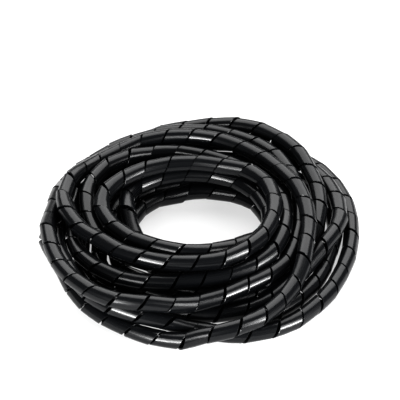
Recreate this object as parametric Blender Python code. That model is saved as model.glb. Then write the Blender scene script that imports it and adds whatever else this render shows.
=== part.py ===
"""A loose coil of spiral cable wrap, built as one turned solid with its bore."""
import math

import bmesh
import bpy
import numpy as np

# Driving dimensions, in metres
TUBE_DIAMETER = 0.010          # outside of the slit tube
BORE_RADIUS = 0.039            # free eye in the middle of the coil
LAY_GAP = 0.0002               # air left between tube turns that lie side by side
SKIN = 0.0003                  # the solid stands this far outside the tube

# How the section is drawn, as shares of the tube's width
VALLEY_FILL = 0.3 * TUBE_DIAMETER      # how far the valleys between turns are filled
RAY_HEIGHT = 0.8 * TUBE_DIAMETER       # height the section is swept out from
RAY_INSET = 0.6 * TUBE_DIAMETER        # how far in from the outer turns it is swept from
THINNEST = 0.2 * TUBE_DIAMETER         # least reach of the section from that height
FLAT_BELOW = 0.2 * TUBE_DIAMETER       # anything lower than this is brought down to the floor

# Drawing steps
STEPS_PER_TURN = 72
SECTION_POINTS = 64
LAY_ROUNDS = 400
LAY_EASE = 0.5                 # share of each push that is taken in one round
MOST_LEAN = 0.4                # steepest crossing that widens a tube's cut
PIT_PASSES = 4

# How the tube lies: one list a turn, counted anticlockwise from above.
# Each mark is the angle in degrees, then the place across the ring from the bore
# outward and the height above the floor, both in tube widths.
ROUTE = (
    ((288, 4.25, 0.5), (300, 4.35, 0.5), (305, 4.3, 0.5), (323, 4.15, 0.5), (335, 4.12, 0.5),
     (346, 4.25, 0.5)),
    ((0, 4.5, 0.5), (12, 4.65, 0.5), (30, 4.55, 0.5), (60, 4.05, 0.5), (90, 3.55, 0.5),
     (108, 3.4, 0.5), (122, 3.0, 0.5), (137, 2.65, 0.5), (150, 2.65, 0.5), (163, 2.8, 0.5),
     (175, 3.1, 0.5), (186, 3.45, 0.5), (205, 3.95, 0.5), (219, 4.0, 0.5), (233, 3.5, 0.5),
     (247, 3.3, 0.5), (265, 3.3, 0.5), (283, 3.45, 0.5), (300, 3.5, 0.5), (325, 3.5, 0.9),
     (334, 3.65, 1.1), (343, 3.95, 1.35)),
    ((0, 4.7, 1.4), (20, 5.0, 1.4), (50, 4.9, 1.3), (90, 4.4, 1.1), (108, 4.1, 0.85),
     (122, 3.8, 0.55), (137, 3.65, 0.5), (150, 3.7, 0.5), (163, 3.85, 0.55), (172, 4.3, 0.75),
     (180, 4.8, 1.0), (192, 5.15, 1.25), (207, 5.2, 1.4), (220, 5.4, 1.4), (236, 5.55, 1.4),
     (247, 5.35, 1.25), (257, 5.0, 0.95), (266, 4.8, 0.55), (275, 5.15, 0.5), (282, 5.52, 0.5),
     (290, 5.65, 0.5), (300, 5.8, 0.5), (318, 5.65, 0.5), (331, 5.5, 0.5), (344, 5.45, 0.5)),
    ((5, 5.6, 0.5), (20, 5.85, 0.55), (37, 5.8, 0.8), (60, 5.55, 0.7), (90, 5.2, 0.5),
     (115, 4.85, 0.5), (137, 4.6, 0.5), (150, 4.65, 0.5), (163, 4.85, 0.5), (172, 5.0, 0.5),
     (180, 5.2, 0.5), (192, 5.2, 0.5), (203, 5.15, 0.5), (215, 5.35, 0.5), (227, 5.55, 0.5),
     (240, 5.58, 0.5), (255, 5.6, 0.5), (265, 5.7, 0.6), (270, 5.6, 0.8), (276, 5.75, 1.1),
     (282, 5.8, 1.3), (289, 5.65, 1.4), (299, 5.1, 1.5), (312, 4.35, 1.6), (326, 3.65, 1.85),
     (343, 3.05, 2.2)),
    ((0, 2.7, 2.4), (20, 2.5, 2.6), (38, 2.4, 2.6), (60, 2.6, 2.6), (83, 3.1, 2.6),
     (107, 3.9, 2.35), (118, 4.3, 2.08), (126, 4.42, 1.92), (134, 4.55, 1.86), (142, 4.7, 1.84),
     (152, 4.66, 1.95), (164, 4.66, 2.2), (175, 4.6, 2.6), (185, 4.15, 2.6), (196, 3.55, 2.6),
     (207, 2.9, 2.7), (220, 2.4, 2.7), (233, 2.05, 2.8), (248, 1.7, 2.8), (264, 1.4, 2.8),
     (277, 1.25, 2.8), (299, 0.93, 2.8), (325, 0.8, 2.8)),
    ((0, 0.7, 2.8), (34, 0.8, 2.8), (51, 0.65, 2.8), (68, 0.35, 2.8), (90, 0.35, 2.8),
     (118, 0.7, 2.8), (137, 1.2, 2.8), (151, 1.6, 2.8), (164, 2.05, 2.8), (175, 2.25, 2.65),
     (185, 2.1, 2.5), (195, 1.7, 2.4), (207, 1.25, 2.5), (222, 0.9, 2.7), (240, 0.62, 2.8),
     (257, 0.45, 2.8), (270, 0.35, 2.75), (283, 0.28, 2.7), (294, 0.22, 2.6), (303, 0.16, 2.48),
     (313, 0.05, 2.3), (325, 0.08, 2.05), (338, 0.2, 1.8), (350, 0.32, 1.7)),
    ((0, 0.4, 1.65), (20, 0.45, 1.65), (45, 0.45, 1.7), (90, 0.45, 1.75), (118, 0.75, 1.75),
     (140, 1.1, 1.75), (151, 1.15, 1.85), (165, 0.95, 1.95), (175, 0.8, 1.9), (187, 0.5, 1.7),
     (200, 0.3, 1.4), (215, 0.35, 0.9), (235, 0.45, 0.6), (270, 0.5, 0.5), (310, 0.6, 0.5)),
    ((0, 0.6, 0.5), (20, 0.65, 0.5), (51, 0.6, 0.5), (70, 0.35, 0.5), (90, 0.3, 0.5),
     (108, 0.3, 0.5), (128, 0.4, 0.5), (146, 0.55, 0.5), (162, 0.6, 0.5), (180, 1.0, 0.5),
     (200, 1.6, 0.5), (215, 1.9, 0.5), (230, 1.72, 0.5), (270, 1.45, 0.5), (320, 1.75, 0.5)),
    ((0, 2.4, 0.5), (20, 2.6, 0.5), (45, 2.95, 0.5), (70, 2.7, 0.5), (110, 2.35, 0.5),
     (125, 2.3, 1.0), (138, 2.3, 1.4), (150, 2.4, 1.45), (163, 2.4, 1.35), (175, 2.35, 1.05),
     (190, 2.45, 0.6), (205, 2.9, 0.55), (219, 3.1, 0.6), (233, 2.6, 0.6), (247, 2.35, 0.6),
     (265, 2.35, 0.6), (283, 2.45, 0.5), (300, 2.55, 0.5), (326, 2.75, 0.6), (343, 3.1, 1.05)),
    ((0, 3.4, 1.65), (13, 3.8, 1.8), (22, 4.05, 1.9), (32, 4.35, 2.0), (41, 4.7, 2.15),
     (50, 4.95, 2.25), (60, 5.15, 2.3), (71, 5.3, 2.25), (81, 5.35, 2.05), (91, 5.3, 1.8),
     (100, 5.45, 1.25), (108, 5.7, 0.75), (116, 5.88, 0.5), (130, 6.0, 0.5), (143, 6.0, 0.5),
     (152, 5.85, 0.6), (160, 5.45, 1.1), (168, 5.25, 1.45), (180, 5.35, 1.8), (195, 5.5, 2.1),
     (207, 5.8, 2.3), (217, 5.9, 2.35), (225, 5.9, 2.4), (233, 5.85, 2.4), (243, 5.5, 2.3),
     (253, 4.8, 2.1), (266, 3.85, 1.7), (283, 3.05, 1.6), (297, 2.65, 1.6), (314, 2.6, 1.55),
     (326, 2.5, 1.5), (337, 2.3, 1.5), (346, 2.2, 1.5)),
    ((0, 2.3, 1.6), (15, 2.6, 1.75), (32, 3.0, 2.0), (42, 3.35, 2.1), (53, 3.7, 2.15),
     (75, 4.1, 2.2), (88, 4.3, 2.2), (104, 4.6, 1.7), (112, 4.95, 1.4), (121, 5.2, 1.25),
     (130, 5.35, 1.2), (140, 5.4, 1.2), (149, 5.25, 1.22), (157, 4.85, 1.3), (165, 4.4, 1.42),
     (180, 4.3, 1.5), (189, 4.35, 1.45), (205, 4.0, 1.6), (217, 3.8, 1.8), (230, 3.3, 1.8),
     (245, 2.6, 1.8), (262, 1.95, 1.8), (280, 1.65, 1.8), (300, 1.7, 1.9), (313, 1.7, 2.0),
     (328, 1.55, 2.0), (348, 1.45, 2.0)),
    ((0, 1.45, 2.0), (22, 1.5, 2.0), (39, 1.4, 2.0), (69, 1.6, 2.0), (83, 1.9, 2.0), (96, 2.3, 2.0),
     (107, 2.79, 1.95), (117, 3.1, 1.95), (126, 3.32, 2.1), (134, 3.5, 2.15), (142, 3.72, 2.15),
     (151, 3.82, 2.1), (160, 3.8, 2.0), (170, 3.5, 1.9), (181, 2.95, 1.9), (199, 2.35, 1.8),
     (214, 1.9, 1.8), (232, 1.35, 1.8), (246, 1.05, 1.8), (265, 0.8, 1.6), (310, 0.75, 1.35),
     (335, 1.15, 1.35)),
    ((0, 1.4, 1.0), (25, 1.55, 0.6), (50, 1.7, 0.5), (90, 1.35, 0.5), (115, 1.35, 0.5),
     (133, 1.45, 0.5), (150, 1.57, 0.95), (163, 1.67, 1.3), (172, 1.6, 1.38), (182, 1.5, 1.42),
     (200, 1.35, 1.45), (212, 1.2, 1.45)),
)


def clear_scene():
    """Empty the scene of every object it starts with."""
    for thing in list(bpy.data.objects):
        bpy.data.objects.remove(thing, do_unlink=True)
    for mesh in list(bpy.data.meshes):
        bpy.data.meshes.remove(mesh)


def smooth_between(marks, values, at):
    """A smooth line through hand-placed values, its slopes taken from the neighbours."""
    slopes = np.gradient(values, marks)
    i = np.clip(np.searchsorted(marks, at, side="right") - 1, 0, len(marks) - 2)
    span = marks[i + 1] - marks[i]
    t = (at - marks[i]) / span
    start = (1.0 + 2.0 * t) * (1.0 - t) ** 2 * values[i]
    leave = t * (1.0 - t) ** 2 * span * slopes[i]
    end = t * t * (3.0 - 2.0 * t) * values[i + 1]
    arrive = t * t * (t - 1.0) * span * slopes[i + 1]
    return start + leave + end + arrive


def ease(line):
    """Spread a change along the tube, as its stiffness does."""
    line[1:-1] = 0.25 * line[:-2] + 0.5 * line[1:-1] + 0.25 * line[2:]
    return line


def slant(r, z):
    """How much wider a tube cuts through a section when it crosses it on a slant."""
    step = 2.0 * math.pi / STEPS_PER_TURN
    lean = np.hypot(np.gradient(r), np.gradient(z)) / (r * step)
    lean = np.minimum(lean, MOST_LEAN)
    return np.sqrt(1.0 + lean * lean)


def lay_route():
    """The middle line of the tube as it lies: angle, distance from the axis, height."""
    angles = []
    across = []
    up = []
    for turn, marks in enumerate(ROUTE):
        for angle, place, height in marks:
            angles.append(360.0 * turn + angle)
            across.append(place)
            up.append(height)
    angles = np.array(angles)
    step = 360.0 / STEPS_PER_TURN
    first = math.ceil(angles[0] / step)
    last = math.floor(angles[-1] / step)
    at = step * np.arange(first, last + 1)
    r = BORE_RADIUS + TUBE_DIAMETER * smooth_between(angles, np.array(across), at)
    z = TUBE_DIAMETER * smooth_between(angles, np.array(up), at)
    count = len(at)
    need = (TUBE_DIAMETER + LAY_GAP) * slant(r, z)
    for round_number in range(LAY_ROUNDS):
        move_r = np.zeros(count)
        move_z = np.zeros(count)
        for gap in range(STEPS_PER_TURN, count, STEPS_PER_TURN):
            below = slice(0, count - gap)
            above = slice(gap, count)
            dr = r[above] - r[below]
            dz = z[above] - z[below]
            far = np.maximum(np.hypot(dr, dz), 1e-6)
            lack = 0.5 * (need[below] + need[above]) - far
            push = np.where(lack > 0.0, 0.5 * lack / far, 0.0)
            move_r[below] -= push * dr
            move_r[above] += push * dr
            move_z[below] -= push * dz
            move_z[above] += push * dz
        r = r + LAY_EASE * ease(ease(move_r))
        z = z + LAY_EASE * ease(ease(move_z))
        z = np.maximum(z, 0.5 * TUBE_DIAMETER)
    return np.radians(at), r, z


def section_ray(low, high, walk):
    """Where a ray of the section starts and which way it points, walking once round it."""
    flat = high - low
    cap = math.pi * RAY_HEIGHT
    length = walk * 2.0 * (flat + cap)
    if length < flat:
        return low + length, 0.5 * math.pi
    length -= flat
    if length < cap:
        return high, 0.5 * math.pi - math.pi * length / cap
    length -= cap
    if length < flat:
        return high - length, -0.5 * math.pi
    length -= flat
    return low, -0.5 * math.pi - math.pi * length / cap


def ring_section(centres_r, centres_z, widths):
    """The outline of the turns cut through at one angle, valleys part filled."""
    low = centres_r.min() + RAY_INSET
    high = centres_r.max() - RAY_INSET
    reach = widths + VALLEY_FILL
    outline = []
    for point in range(SECTION_POINTS):
        start, way = section_ray(low, high, point / SECTION_POINTS)
        ray_r = math.cos(way)
        ray_z = math.sin(way)
        off_r = centres_r - start
        off_z = centres_z - RAY_HEIGHT
        along = off_r * ray_r + off_z * ray_z
        aside = off_r * ray_z - off_z * ray_r
        inside = reach * reach - aside * aside
        hits = np.where(inside > 0.0, along + np.sqrt(np.maximum(inside, 0.0)), 0.0)
        outline.append((start, way, max(float(hits.max()) - VALLEY_FILL, THINNEST)))
    return outline


def build_coil():
    """Loft the section round the axis into one closed ring standing on the floor."""
    angle, r, z = lay_route()
    step = 2.0 * math.pi / STEPS_PER_TURN
    widths = 0.5 * TUBE_DIAMETER * slant(r, z) + SKIN
    column = np.round(angle / step).astype(int) % STEPS_PER_TURN
    rays = []
    for side in range(STEPS_PER_TURN):
        here = column == side
        rays.append(ring_section(r[here], z[here], widths[here]))
    rays = np.array(rays)
    # Pits deeper than the sections on either side are filled
    far = rays[:, :, 2]
    for pass_number in range(PIT_PASSES):
        beside = 0.5 * (np.roll(far, 1, axis=0) + np.roll(far, -1, axis=0))
        far = np.maximum(far, beside)
    places_r = rays[:, :, 0] + far * np.cos(rays[:, :, 1])
    places_z = RAY_HEIGHT + far * np.sin(rays[:, :, 1])
    places_z = np.where(places_z < FLAT_BELOW, 0.0, places_z)
    bm = bmesh.new()
    loops = []
    for side in range(STEPS_PER_TURN):
        turn = side * step
        loop = []
        for point in range(SECTION_POINTS):
            out = places_r[side, point]
            up = places_z[side, point]
            loop.append(bm.verts.new((out * math.cos(turn), out * math.sin(turn), up)))
        loops.append(loop)
    for side in range(STEPS_PER_TURN):
        near = loops[side]
        far_loop = loops[(side + 1) % STEPS_PER_TURN]
        for point in range(SECTION_POINTS):
            after = (point + 1) % SECTION_POINTS
            bm.faces.new((near[point], far_loop[point], far_loop[after], near[after]))
    bmesh.ops.triangulate(bm, faces=bm.faces[:])
    bmesh.ops.recalc_face_normals(bm, faces=bm.faces[:])
    xs = [vert.co.x for vert in bm.verts]
    ys = [vert.co.y for vert in bm.verts]
    shift = (-0.5 * (min(xs) + max(xs)), -0.5 * (min(ys) + max(ys)), 0.0)
    bmesh.ops.translate(bm, verts=bm.verts[:], vec=shift)
    mesh = bpy.data.meshes.new("spiral_wrap")
    bm.to_mesh(mesh)
    bm.free()
    node = bpy.data.objects.new("spiral_wrap", mesh)
    bpy.context.scene.collection.objects.link(node)
    return node


def black_plastic():
    """Near-black polyethylene with a soft shine."""
    material = bpy.data.materials.new("black_polyethylene")
    material.use_nodes = True
    shader = material.node_tree.nodes["Principled BSDF"]
    shader.inputs["Base Color"].default_value = (0.012, 0.012, 0.013, 1.0)
    shader.inputs["Roughness"].default_value = 0.32
    shader.inputs["Metallic"].default_value = 0.0
    return material


clear_scene()
coil = build_coil()
coil.data.materials.append(black_plastic())
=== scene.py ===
"""Dresses the loose coil of spiral cable wrap: a helically slit black tube, on a pale stage."""
import math

import bpy
import numpy as np
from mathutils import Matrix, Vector


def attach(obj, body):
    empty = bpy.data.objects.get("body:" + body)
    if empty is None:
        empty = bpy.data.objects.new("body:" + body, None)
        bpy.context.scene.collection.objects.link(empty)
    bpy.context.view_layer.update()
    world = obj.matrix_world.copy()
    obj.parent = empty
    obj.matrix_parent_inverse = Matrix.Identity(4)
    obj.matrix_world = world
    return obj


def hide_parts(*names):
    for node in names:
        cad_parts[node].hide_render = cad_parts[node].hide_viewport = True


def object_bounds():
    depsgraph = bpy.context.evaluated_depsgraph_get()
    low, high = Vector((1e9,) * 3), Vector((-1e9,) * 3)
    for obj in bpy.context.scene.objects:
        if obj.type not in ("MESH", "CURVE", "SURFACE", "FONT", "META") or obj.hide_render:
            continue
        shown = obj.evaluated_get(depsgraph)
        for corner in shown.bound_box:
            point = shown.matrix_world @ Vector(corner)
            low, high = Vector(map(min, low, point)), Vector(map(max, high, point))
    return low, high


bl_info = {
    "name": "Spiral cable wrap",
    "version": (1, 0, 0),
    "blender": (4, 5, 0),
    "location": "View3D > Sidebar > Wrap",
    "description": "Builds the slit band of a coil of spiral cable wrap and its stage",
    "category": "Object",
}

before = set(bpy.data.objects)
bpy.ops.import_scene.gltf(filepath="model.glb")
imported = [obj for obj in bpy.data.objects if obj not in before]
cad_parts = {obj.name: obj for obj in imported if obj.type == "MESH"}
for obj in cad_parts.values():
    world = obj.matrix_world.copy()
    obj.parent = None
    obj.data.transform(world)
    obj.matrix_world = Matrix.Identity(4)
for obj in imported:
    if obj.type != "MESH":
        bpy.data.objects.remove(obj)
CAD_LOW, CAD_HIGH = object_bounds()

# Fixed measures of the coil, in metres
TUBE_DIAMETER = 0.010
BORE_RADIUS = 0.039
LAY_GAP = 0.0002

# Drawing steps
STEPS_PER_TURN = 72
LAY_ROUNDS = 400
LAY_EASE = 0.5
MOST_LEAN = 0.4
FINE_PER_STEP = 4
ROUND_STEPS = 36

# How unevenly the band is wound: the seed of its drifts and the most that each one reaches
DRIFT_SEED = 11
TWIST_DRIFT = 0.02
OFF_LINE_DRIFT = 0.00010
LEAN_DRIFT = 0.030
WIDTH_DRIFT = 0.010

# Least gap between turns of the band on the inside of a bend, and how far its ends stop short
LEAST_GAP = 0.00015
END_INSET = 0.0008

# Plastic: its gloss, and how far the drawn streaks change it
PLASTIC_IOR = 1.51
PLASTIC_SPECULAR = 0.36
STREAK_SCALE = 1500.0
STREAK_STRETCH = 0.02
STREAK_SMOOTHER = 0.04
STREAK_DULLER = 0.06
STREAK_STRENGTH = 0.12
STREAK_HEIGHT = 0.00006

# Stage: half the floor's width, how far it lies below the coil, and how much it and the room glow
FLOOR_HALF = 6.0
FLOOR_DROP = 0.0002
FLOOR_GLOW = 0.40
ROOM_GLOW = 0.10
LIT_HEIGHT = 0.02

# Lights: name, azimuth and elevation in degrees, distance, width and height, power
LIGHTS = (
    ("backdrop", 90.0, 48.0, 1.6, (2.6, 1.6), 42.0),
    ("left_strip", -120.0, 12.0, 1.2, (0.26, 0.30), 13.0),
    ("right_strip", -32.0, 12.0, 1.2, (0.26, 0.30), 13.0),
    ("left_glow", -120.0, 30.0, 1.2, (0.26, 0.45), 5.0),
    ("right_glow", -32.0, 30.0, 1.2, (0.26, 0.45), 5.0),
)

# How the tube lies: one list a turn, counted anticlockwise from above.
# Each mark is the angle in degrees, then the place across the ring from the bore
# outward and the height above the floor, both in tube widths.
ROUTE = (
    ((288, 4.25, 0.5), (300, 4.35, 0.5), (305, 4.3, 0.5), (323, 4.15, 0.5), (335, 4.12, 0.5),
     (346, 4.25, 0.5)),
    ((0, 4.5, 0.5), (12, 4.65, 0.5), (30, 4.55, 0.5), (60, 4.05, 0.5), (90, 3.55, 0.5),
     (108, 3.4, 0.5), (122, 3.0, 0.5), (137, 2.65, 0.5), (150, 2.65, 0.5), (163, 2.8, 0.5),
     (175, 3.1, 0.5), (186, 3.45, 0.5), (205, 3.95, 0.5), (219, 4.0, 0.5), (233, 3.5, 0.5),
     (247, 3.3, 0.5), (265, 3.3, 0.5), (283, 3.45, 0.5), (300, 3.5, 0.5), (325, 3.5, 0.9),
     (334, 3.65, 1.1), (343, 3.95, 1.35)),
    ((0, 4.7, 1.4), (20, 5.0, 1.4), (50, 4.9, 1.3), (90, 4.4, 1.1), (108, 4.1, 0.85),
     (122, 3.8, 0.55), (137, 3.65, 0.5), (150, 3.7, 0.5), (163, 3.85, 0.55), (172, 4.3, 0.75),
     (180, 4.8, 1.0), (192, 5.15, 1.25), (207, 5.2, 1.4), (220, 5.4, 1.4), (236, 5.55, 1.4),
     (247, 5.35, 1.25), (257, 5.0, 0.95), (266, 4.8, 0.55), (275, 5.15, 0.5), (282, 5.52, 0.5),
     (290, 5.65, 0.5), (300, 5.8, 0.5), (318, 5.65, 0.5), (331, 5.5, 0.5), (344, 5.45, 0.5)),
    ((5, 5.6, 0.5), (20, 5.85, 0.55), (37, 5.8, 0.8), (60, 5.55, 0.7), (90, 5.2, 0.5),
     (115, 4.85, 0.5), (137, 4.6, 0.5), (150, 4.65, 0.5), (163, 4.85, 0.5), (172, 5.0, 0.5),
     (180, 5.2, 0.5), (192, 5.2, 0.5), (203, 5.15, 0.5), (215, 5.35, 0.5), (227, 5.55, 0.5),
     (240, 5.58, 0.5), (255, 5.6, 0.5), (265, 5.7, 0.6), (270, 5.6, 0.8), (276, 5.75, 1.1),
     (282, 5.8, 1.3), (289, 5.65, 1.4), (299, 5.1, 1.5), (312, 4.35, 1.6), (326, 3.65, 1.85),
     (343, 3.05, 2.2)),
    ((0, 2.7, 2.4), (20, 2.5, 2.6), (38, 2.4, 2.6), (60, 2.6, 2.6), (83, 3.1, 2.6),
     (107, 3.9, 2.35), (118, 4.3, 2.08), (126, 4.42, 1.92), (134, 4.55, 1.86), (142, 4.7, 1.84),
     (152, 4.66, 1.95), (164, 4.66, 2.2), (175, 4.6, 2.6), (185, 4.15, 2.6), (196, 3.55, 2.6),
     (207, 2.9, 2.7), (220, 2.4, 2.7), (233, 2.05, 2.8), (248, 1.7, 2.8), (264, 1.4, 2.8),
     (277, 1.25, 2.8), (299, 0.93, 2.8), (325, 0.8, 2.8)),
    ((0, 0.7, 2.8), (34, 0.8, 2.8), (51, 0.65, 2.8), (68, 0.35, 2.8), (90, 0.35, 2.8),
     (118, 0.7, 2.8), (137, 1.2, 2.8), (151, 1.6, 2.8), (164, 2.05, 2.8), (175, 2.25, 2.65),
     (185, 2.1, 2.5), (195, 1.7, 2.4), (207, 1.25, 2.5), (222, 0.9, 2.7), (240, 0.62, 2.8),
     (257, 0.45, 2.8), (270, 0.35, 2.75), (283, 0.28, 2.7), (294, 0.22, 2.6), (303, 0.16, 2.48),
     (313, 0.05, 2.3), (325, 0.08, 2.05), (338, 0.2, 1.8), (350, 0.32, 1.7)),
    ((0, 0.4, 1.65), (20, 0.45, 1.65), (45, 0.45, 1.7), (90, 0.45, 1.75), (118, 0.75, 1.75),
     (140, 1.1, 1.75), (151, 1.15, 1.85), (165, 0.95, 1.95), (175, 0.8, 1.9), (187, 0.5, 1.7),
     (200, 0.3, 1.4), (215, 0.35, 0.9), (235, 0.45, 0.6), (270, 0.5, 0.5), (310, 0.6, 0.5)),
    ((0, 0.6, 0.5), (20, 0.65, 0.5), (51, 0.6, 0.5), (70, 0.35, 0.5), (90, 0.3, 0.5),
     (108, 0.3, 0.5), (128, 0.4, 0.5), (146, 0.55, 0.5), (162, 0.6, 0.5), (180, 1.0, 0.5),
     (200, 1.6, 0.5), (215, 1.9, 0.5), (230, 1.72, 0.5), (270, 1.45, 0.5), (320, 1.75, 0.5)),
    ((0, 2.4, 0.5), (20, 2.6, 0.5), (45, 2.95, 0.5), (70, 2.7, 0.5), (110, 2.35, 0.5),
     (125, 2.3, 1.0), (138, 2.3, 1.4), (150, 2.4, 1.45), (163, 2.4, 1.35), (175, 2.35, 1.05),
     (190, 2.45, 0.6), (205, 2.9, 0.55), (219, 3.1, 0.6), (233, 2.6, 0.6), (247, 2.35, 0.6),
     (265, 2.35, 0.6), (283, 2.45, 0.5), (300, 2.55, 0.5), (326, 2.75, 0.6), (343, 3.1, 1.05)),
    ((0, 3.4, 1.65), (13, 3.8, 1.8), (22, 4.05, 1.9), (32, 4.35, 2.0), (41, 4.7, 2.15),
     (50, 4.95, 2.25), (60, 5.15, 2.3), (71, 5.3, 2.25), (81, 5.35, 2.05), (91, 5.3, 1.8),
     (100, 5.45, 1.25), (108, 5.7, 0.75), (116, 5.88, 0.5), (130, 6.0, 0.5), (143, 6.0, 0.5),
     (152, 5.85, 0.6), (160, 5.45, 1.1), (168, 5.25, 1.45), (180, 5.35, 1.8), (195, 5.5, 2.1),
     (207, 5.8, 2.3), (217, 5.9, 2.35), (225, 5.9, 2.4), (233, 5.85, 2.4), (243, 5.5, 2.3),
     (253, 4.8, 2.1), (266, 3.85, 1.7), (283, 3.05, 1.6), (297, 2.65, 1.6), (314, 2.6, 1.55),
     (326, 2.5, 1.5), (337, 2.3, 1.5), (346, 2.2, 1.5)),
    ((0, 2.3, 1.6), (15, 2.6, 1.75), (32, 3.0, 2.0), (42, 3.35, 2.1), (53, 3.7, 2.15),
     (75, 4.1, 2.2), (88, 4.3, 2.2), (104, 4.6, 1.7), (112, 4.95, 1.4), (121, 5.2, 1.25),
     (130, 5.35, 1.2), (140, 5.4, 1.2), (149, 5.25, 1.22), (157, 4.85, 1.3), (165, 4.4, 1.42),
     (180, 4.3, 1.5), (189, 4.35, 1.45), (205, 4.0, 1.6), (217, 3.8, 1.8), (230, 3.3, 1.8),
     (245, 2.6, 1.8), (262, 1.95, 1.8), (280, 1.65, 1.8), (300, 1.7, 1.9), (313, 1.7, 2.0),
     (328, 1.55, 2.0), (348, 1.45, 2.0)),
    ((0, 1.45, 2.0), (22, 1.5, 2.0), (39, 1.4, 2.0), (69, 1.6, 2.0), (83, 1.9, 2.0), (96, 2.3, 2.0),
     (107, 2.79, 1.95), (117, 3.1, 1.95), (126, 3.32, 2.1), (134, 3.5, 2.15), (142, 3.72, 2.15),
     (151, 3.82, 2.1), (160, 3.8, 2.0), (170, 3.5, 1.9), (181, 2.95, 1.9), (199, 2.35, 1.8),
     (214, 1.9, 1.8), (232, 1.35, 1.8), (246, 1.05, 1.8), (265, 0.8, 1.6), (310, 0.75, 1.35),
     (335, 1.15, 1.35)),
    ((0, 1.4, 1.0), (25, 1.55, 0.6), (50, 1.7, 0.5), (90, 1.35, 0.5), (115, 1.35, 0.5),
     (133, 1.45, 0.5), (150, 1.57, 0.95), (163, 1.67, 1.3), (172, 1.6, 1.38), (182, 1.5, 1.42),
     (200, 1.35, 1.45), (212, 1.2, 1.45)),
)


def smooth_between(marks, values, at):
    """A smooth line through given values, its slopes taken from the neighbours."""
    slopes = np.gradient(values, marks)
    i = np.clip(np.searchsorted(marks, at, side="right") - 1, 0, len(marks) - 2)
    span = marks[i + 1] - marks[i]
    t = (at - marks[i]) / span
    start = (1.0 + 2.0 * t) * (1.0 - t) ** 2 * values[i]
    leave = t * (1.0 - t) ** 2 * span * slopes[i]
    end = t * t * (3.0 - 2.0 * t) * values[i + 1]
    arrive = t * t * (t - 1.0) * span * slopes[i + 1]
    return start + leave + end + arrive


def ease(line):
    """Spread a change along the tube, as its stiffness does."""
    line[1:-1] = 0.25 * line[:-2] + 0.5 * line[1:-1] + 0.25 * line[2:]
    return line


def slant(r, z):
    """How much wider a tube cuts through a section when it crosses it on a slant."""
    step = 2.0 * math.pi / STEPS_PER_TURN
    lean = np.hypot(np.gradient(r), np.gradient(z)) / (r * step)
    lean = np.minimum(lean, MOST_LEAN)
    return np.sqrt(1.0 + lean * lean)


def lay_route():
    """The middle line of the tube as it lies: angle, distance from the axis, height."""
    angles = []
    across = []
    up = []
    for turn, marks in enumerate(ROUTE):
        for angle, place, height in marks:
            angles.append(360.0 * turn + angle)
            across.append(place)
            up.append(height)
    angles = np.array(angles)
    step = 360.0 / STEPS_PER_TURN
    first = math.ceil(angles[0] / step)
    last = math.floor(angles[-1] / step)
    at = step * np.arange(first, last + 1)
    r = BORE_RADIUS + TUBE_DIAMETER * smooth_between(angles, np.array(across), at)
    z = TUBE_DIAMETER * smooth_between(angles, np.array(up), at)
    count = len(at)
    need = (TUBE_DIAMETER + LAY_GAP) * slant(r, z)
    for round_number in range(LAY_ROUNDS):
        move_r = np.zeros(count)
        move_z = np.zeros(count)
        for gap in range(STEPS_PER_TURN, count, STEPS_PER_TURN):
            below = slice(0, count - gap)
            above = slice(gap, count)
            dr = r[above] - r[below]
            dz = z[above] - z[below]
            far = np.maximum(np.hypot(dr, dz), 1e-6)
            lack = 0.5 * (need[below] + need[above]) - far
            push = np.where(lack > 0.0, 0.5 * lack / far, 0.0)
            move_r[below] -= push * dr
            move_r[above] += push * dr
            move_z[below] -= push * dz
            move_z[above] += push * dz
        r = r + LAY_EASE * ease(ease(move_r))
        z = z + LAY_EASE * ease(ease(move_z))
        z = np.maximum(z, 0.5 * TUBE_DIAMETER)
    return np.radians(at), r, z


def lay_centreline():
    """The middle line as finely spaced points, with the distance run along it."""
    angle, r, z = lay_route()
    marks = np.arange(len(angle), dtype=float)
    at = np.arange(0.0, len(angle) - 1.0, 1.0 / FINE_PER_STEP)
    turn = np.interp(at, marks, angle)
    r = smooth_between(marks, r, at)
    z = smooth_between(marks, z, at)
    points = np.stack([r * np.cos(turn), r * np.sin(turn), z], axis=1)
    pieces = np.linalg.norm(np.diff(points, axis=0), axis=1)
    run = np.concatenate([[0.0], np.cumsum(pieces)])
    return points, run


def unit(rows):
    """Each row scaled to length one."""
    return rows / np.linalg.norm(rows, axis=1)[:, None]


def wander(rng, count, size, at):
    """A slow random drift with one value a helix turn, eased between them."""
    marks = np.arange(count, dtype=float)
    return smooth_between(marks, rng.uniform(-size, size, count), at)


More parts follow.
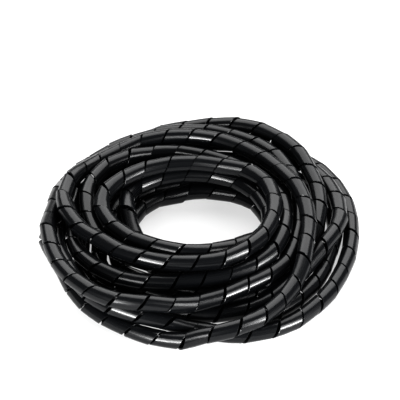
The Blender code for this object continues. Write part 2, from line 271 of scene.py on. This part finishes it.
class WrapSettings(bpy.types.PropertyGroup):
    """Sizes and finish of the slit band."""

    pitch: bpy.props.FloatProperty(
        name="Pitch",
        description="Distance along the tube from one slit to the next",
        default=0.0167,
        min=0.008,
        max=0.04,
        unit="LENGTH",
        subtype="DISTANCE",
    )
    slit: bpy.props.FloatProperty(
        name="Slit",
        description="Gap between neighbouring turns of the band, along the tube",
        default=0.0011,
        min=0.0002,
        max=0.004,
        unit="LENGTH",
        subtype="DISTANCE",
    )
    give: bpy.props.FloatProperty(
        name="Give",
        description="How much of the tube's bend the band takes itself",
        default=0.5,
        min=0.0,
        max=1.0,
        subtype="FACTOR",
    )
    wall: bpy.props.FloatProperty(
        name="Wall",
        description="Thickness of the band",
        default=0.0010,
        min=0.0004,
        max=0.002,
        unit="LENGTH",
        subtype="DISTANCE",
    )
    edge: bpy.props.FloatProperty(
        name="Edge",
        description="Width of the worn corner along the slit",
        default=0.00018,
        min=0.00005,
        max=0.0004,
        unit="LENGTH",
        subtype="DISTANCE",
    )
    colour: bpy.props.FloatVectorProperty(
        name="Colour",
        description="Colour of the plastic",
        default=(0.0052, 0.0057, 0.0066),
        size=3,
        min=0.0,
        max=1.0,
        subtype="COLOR",
    )
    roughness: bpy.props.FloatProperty(
        name="Roughness",
        description="How dull the plastic is",
        default=0.25,
        min=0.0,
        max=1.0,
        subtype="FACTOR",
    )


class StageSettings(bpy.types.PropertyGroup):
    """Floor, camera and lights."""

    floor_colour: bpy.props.FloatVectorProperty(
        name="Floor colour",
        description="Colour of the plain floor",
        default=(0.50, 0.50, 0.50),
        size=3,
        min=0.0,
        max=1.0,
        subtype="COLOR",
    )
    target: bpy.props.FloatVectorProperty(
        name="Camera target",
        description="Point that the camera looks at",
        default=(0.0004, 0.0015, 0.033),
        size=3,
        unit="LENGTH",
        subtype="XYZ",
    )
    elevation: bpy.props.FloatProperty(
        name="Camera elevation",
        description="Angle of the camera above the floor",
        default=math.radians(40.0),
        min=0.0,
        max=math.radians(90.0),
        unit="ROTATION",
        subtype="ANGLE",
    )
    distance: bpy.props.FloatProperty(
        name="Camera distance",
        description="From the camera to the coil",
        default=1.33,
        min=0.4,
        max=5.0,
        unit="LENGTH",
        subtype="DISTANCE",
    )
    lens: bpy.props.FloatProperty(
        name="Lens",
        description="Focal length in millimetres",
        default=193.9,
        min=20.0,
        max=400.0,
    )
    light: bpy.props.FloatProperty(
        name="Light",
        description="Strength of all lights together",
        default=1.0,
        min=0.0,
        max=5.0,
        subtype="FACTOR",
    )


def black_plastic(settings):
    """Near-black polyethylene with fine drawn streaks along the tube."""
    material = bpy.data.materials.new("black_polyethylene")
    material.use_nodes = True
    nodes = material.node_tree.nodes
    links = material.node_tree.links
    shader = nodes["Principled BSDF"]
    shader.inputs["Base Color"].default_value = (*settings.colour, 1.0)
    shader.inputs["Metallic"].default_value = 0.0
    shader.inputs["IOR"].default_value = PLASTIC_IOR
    shader.inputs["Specular IOR Level"].default_value = PLASTIC_SPECULAR
    grain = nodes.new("ShaderNodeAttribute")
    grain.attribute_name = "grain"
    streaks = nodes.new("ShaderNodeTexNoise")
    streaks.inputs["Scale"].default_value = STREAK_SCALE
    streaks.inputs["Detail"].default_value = 3.0
    streaks.inputs["Roughness"].default_value = 0.6
    links.new(grain.outputs["Vector"], streaks.inputs["Vector"])
    spread = nodes.new("ShaderNodeMapRange")
    spread.inputs["From Min"].default_value = 0.3
    spread.inputs["From Max"].default_value = 0.7
    spread.inputs["To Min"].default_value = settings.roughness - STREAK_SMOOTHER
    spread.inputs["To Max"].default_value = settings.roughness + STREAK_DULLER
    links.new(streaks.outputs["Fac"], spread.inputs["Value"])
    links.new(spread.outputs["Result"], shader.inputs["Roughness"])
    bump = nodes.new("ShaderNodeBump")
    bump.inputs["Strength"].default_value = STREAK_STRENGTH
    bump.inputs["Distance"].default_value = STREAK_HEIGHT
    links.new(streaks.outputs["Fac"], bump.inputs["Height"])
    links.new(bump.outputs["Normal"], shader.inputs["Normal"])
    return material


class WRAP_OT_band(bpy.types.Operator):
    """Wind the slit band along the way the tube lies"""

    bl_idname = "wrap.band"
    bl_label = "Wind the band"

    def execute(self, context):
        settings = context.scene.wrap_settings
        centre, run = lay_centreline()
        length = float(run[-1])
        width = settings.pitch - settings.slit
        radius = 0.5 * TUBE_DIAMETER
        rng = np.random.default_rng(DRIFT_SEED)
        # Sample the helix: distance along the tube of the band's middle at each step
        first = -0.5 * width + END_INSET
        last = length + 0.5 * width - END_INSET
        count = int(round((last - first) / settings.pitch * ROUND_STEPS))
        middle = np.linspace(first, last, count + 1)
        turns = (middle - first) / settings.pitch
        size = int(turns[-1]) + 3
        around = 2.0 * math.pi * (turns + wander(rng, size, TWIST_DRIFT, turns))
        inside = np.clip(middle, 0.0, length)
        base = np.stack([np.interp(inside, run, centre[:, k]) for k in range(3)], axis=1)
        tangents = unit(np.gradient(centre, axis=0))
        along = unit(np.stack([np.interp(inside, run, tangents[:, k]) for k in range(3)], axis=1))
        base = base + along * (middle - inside)[:, None]
        out = unit(np.cross(along, np.array([0.0, 0.0, 1.0])))
        over = np.cross(out, along)
        # Each turn of the band sits a little off the line and leans a little
        off_out = wander(rng, size, OFF_LINE_DRIFT, turns)[:, None]
        off_over = wander(rng, size, OFF_LINE_DRIFT, turns)[:, None]
        base = base + out * off_out + over * off_over
        lean_out = wander(rng, size, LEAN_DRIFT, turns)
        lean_over = wander(rng, size, LEAN_DRIFT, turns)
        cross = unit(along + out * lean_out[:, None] + over * lean_over[:, None])
        facing = out * np.cos(around)[:, None] + over * np.sin(around)[:, None]
        # The band takes a share of the tube's bend, and the rest opens and shuts its slits
        bend = np.gradient(tangents, axis=0) / np.gradient(run)[:, None]
        bend = np.stack([np.interp(inside, run, bend[:, k]) for k in range(3)], axis=1)
        inward = np.sum(bend * facing, axis=1)
        taken = settings.give * radius * inward
        room = settings.pitch * (1.0 - radius * inward) / (1.0 - taken) - LEAST_GAP
        wanted = width * (1.0 + wander(rng, size, WIDTH_DRIFT, turns))
        half = 0.5 * np.minimum(wanted, room)
        low = np.maximum(-half, -middle)
        high = np.minimum(half, length - middle)
        edge = np.minimum(settings.edge, 0.3 * (high - low))
        rings = []
        for place, down in (
            (low + edge, 0.0),
            (0.5 * (low + high), 0.0),
            (high - edge, 0.0),
            (high, settings.edge),
            (high, settings.wall),
            (low, settings.wall),
            (low, settings.edge),
        ):
            curl = 0.5 * settings.give * bend * (place * place)[:, None]
            ring = base + cross * (place * (1.0 - taken))[:, None] + curl
            rings.append(ring + facing * (radius - down))
        points = np.stack(rings, axis=1)
        steps, across = points.shape[:2]
        drawn = middle * STREAK_STRETCH
        grain = np.stack([np.cos(around) * radius, np.sin(around) * radius, drawn], axis=1)
        grain = np.repeat(grain, across, axis=0)
        points = points.reshape(-1, 3)
        # Stand the coil where the solid stands
        shift = np.zeros(3)
        for k in range(2):
            middle_of_band = 0.5 * (points[:, k].min() + points[:, k].max())
            shift[k] = 0.5 * (CAD_LOW[k] + CAD_HIGH[k]) - middle_of_band
        points = np.clip(points + shift, CAD_LOW, CAD_HIGH)
        faces = []
        for step in range(steps - 1):
            near = step * across
            far = near + across
            for k in range(across):
                after = (k + 1) % across
                faces.append((near + k, near + after, far + after, far + k))
        faces.append(tuple(range(across)))
        faces.append(tuple(reversed(range((steps - 1) * across, steps * across))))
        mesh = bpy.data.meshes.new("spiral_band")
        mesh.from_pydata(points.tolist(), [], faces)
        mesh.attributes.new("grain", "FLOAT_VECTOR", "POINT")
        mesh.attributes["grain"].data.foreach_set("vector", grain.ravel())
        mesh.polygons.foreach_set("use_smooth", [True] * len(mesh.polygons))
        mesh.set_sharp_from_angle(angle=math.radians(30.0))
        mesh.update()
        band = bpy.data.objects.new("spiral_band", mesh)
        context.scene.collection.objects.link(band)
        band.data.materials.append(black_plastic(settings))
        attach(band, "root")
        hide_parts("spiral_wrap")
        return {"FINISHED"}


def softbox(name, azimuth, elevation, distance, size, power):
    """A soft rectangular light on a sphere round the coil, facing it; azimuth 0 shines along -X."""
    light = bpy.data.lights.new(name, "AREA")
    light.shape = "RECTANGLE"
    light.size = size[0]
    light.size_y = size[1]
    light.energy = power
    lamp = bpy.data.objects.new(name, light)
    turn = math.radians(azimuth)
    rise = math.radians(elevation)
    away = Vector((math.cos(rise) * math.cos(turn), math.cos(rise) * math.sin(turn), math.sin(rise)))
    middle = Vector((0.0, 0.0, LIT_HEIGHT))
    lamp.location = middle + away * distance
    lamp.rotation_euler = (-away).to_track_quat("-Z", "Y").to_euler()
    bpy.context.scene.collection.objects.link(lamp)
    return lamp


class WRAP_OT_stage(bpy.types.Operator):
    """Make the floor, the lights and the camera"""

    bl_idname = "wrap.stage"
    bl_label = "Set the stage"

    def execute(self, context):
        settings = context.scene.wrap_stage
        mesh = bpy.data.meshes.new("floor")
        corners = []
        for x, y in ((-1.0, -1.0), (1.0, -1.0), (1.0, 1.0), (-1.0, 1.0)):
            corners.append((x * FLOOR_HALF, y * FLOOR_HALF, -FLOOR_DROP))
        mesh.from_pydata(corners, [], [(0, 1, 2, 3)])
        floor = bpy.data.objects.new("floor", mesh)
        context.scene.collection.objects.link(floor)
        paint = bpy.data.materials.new("floor_paint")
        paint.use_nodes = True
        shader = paint.node_tree.nodes["Principled BSDF"]
        shader.inputs["Base Color"].default_value = (*settings.floor_colour, 1.0)
        shader.inputs["Roughness"].default_value = 0.9
        shader.inputs["Specular IOR Level"].default_value = 0.1
        shader.inputs["Emission Color"].default_value = (1.0, 1.0, 1.0, 1.0)
        shader.inputs["Emission Strength"].default_value = FLOOR_GLOW
        mesh.materials.append(paint)

        world = bpy.data.worlds.new("studio")
        world.use_nodes = True
        background = world.node_tree.nodes["Background"]
        background.inputs["Color"].default_value = (1.0, 1.0, 1.0, 1.0)
        background.inputs["Strength"].default_value = ROOM_GLOW
        context.scene.world = world

        context.scene.view_settings.view_transform = "Standard"
        context.scene.view_settings.look = "High Contrast"
        for name, azimuth, elevation, distance, size, power in LIGHTS:
            softbox(name, azimuth, elevation, distance, size, power * settings.light)

        camera = bpy.data.cameras.new("camera")
        camera.lens = settings.lens
        camera.sensor_width = 36.0
        camera.clip_start = 0.05
        camera.clip_end = 50.0
        lens = bpy.data.objects.new("camera", camera)
        target = Vector(settings.target)
        back = Vector((0.0, -math.cos(settings.elevation), math.sin(settings.elevation)))
        lens.location = target + back * settings.distance
        lens.rotation_euler = (-back).to_track_quat("-Z", "Y").to_euler()
        context.scene.collection.objects.link(lens)
        context.scene.camera = lens
        return {"FINISHED"}


class WRAP_PT_panel(bpy.types.Panel):
    """Sizes, finish and stage of the wrap."""

    bl_idname = "WRAP_PT_panel"
    bl_label = "Spiral cable wrap"
    bl_space_type = "VIEW_3D"
    bl_region_type = "UI"
    bl_category = "Wrap"

    def draw(self, context):
        layout = self.layout
        for settings in (context.scene.wrap_settings, context.scene.wrap_stage):
            for name in settings.__annotations__:
                layout.prop(settings, name)
        layout.operator("wrap.band")
        layout.operator("wrap.stage")


CLASSES = (WrapSettings, StageSettings, WRAP_OT_band, WRAP_OT_stage, WRAP_PT_panel)


def register():
    """Make the classes and their settings known."""
    for cls in CLASSES:
        bpy.utils.register_class(cls)
    bpy.types.Scene.wrap_settings = bpy.props.PointerProperty(type=WrapSettings)
    bpy.types.Scene.wrap_stage = bpy.props.PointerProperty(type=StageSettings)


def unregister():
    """Take them away again."""
    del bpy.types.Scene.wrap_stage
    del bpy.types.Scene.wrap_settings
    for cls in reversed(CLASSES):
        bpy.utils.unregister_class(cls)


def main():
    """Make the band and its stage."""
    register()
    bpy.ops.wrap.band()
    bpy.ops.wrap.stage()


if __name__ == "__main__":
    main()
